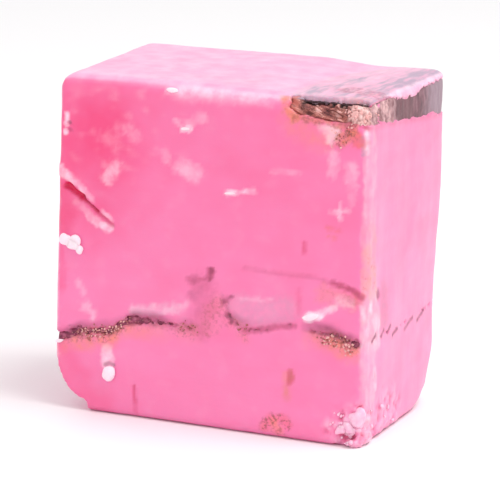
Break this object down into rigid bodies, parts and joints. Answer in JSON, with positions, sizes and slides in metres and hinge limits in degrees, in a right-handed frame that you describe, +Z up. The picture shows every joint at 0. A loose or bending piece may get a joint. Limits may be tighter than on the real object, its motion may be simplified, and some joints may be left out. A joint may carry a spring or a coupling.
{
  "type": "strawberry fudge",
  "caption": "Hand-cut block of pink strawberry fudge that stands on its base, with a chocolate slab in one upper corner and a thin broken chocolate layer across it.",
  "frame": {"origin": "middle of the base, on the surface that the block stands on", "axes": "+Z up, along the block's height; the wide cut face with the crack looks along -Y; +X to the right, towards the narrow side with the slab"},
  "size_m": [0.0506, 0.0336, 0.051],
  "materials": {
    "fudge": "waxy and slightly translucent, smooth where the knife passed, with pale bloom, dents and crumbs",
    "chocolate": "satin, smooth and dusty mauve on the slab's moulded faces, rough and dark where it broke"
  },
  "bodies": {
    "root": {"fudge_block": "fudge", "chocolate_slab": "chocolate", "chocolate_ribbon_left": "chocolate", "chocolate_ribbon_middle": "chocolate", "chocolate_ribbon_right": "chocolate"}
  },
  "joints": []
}
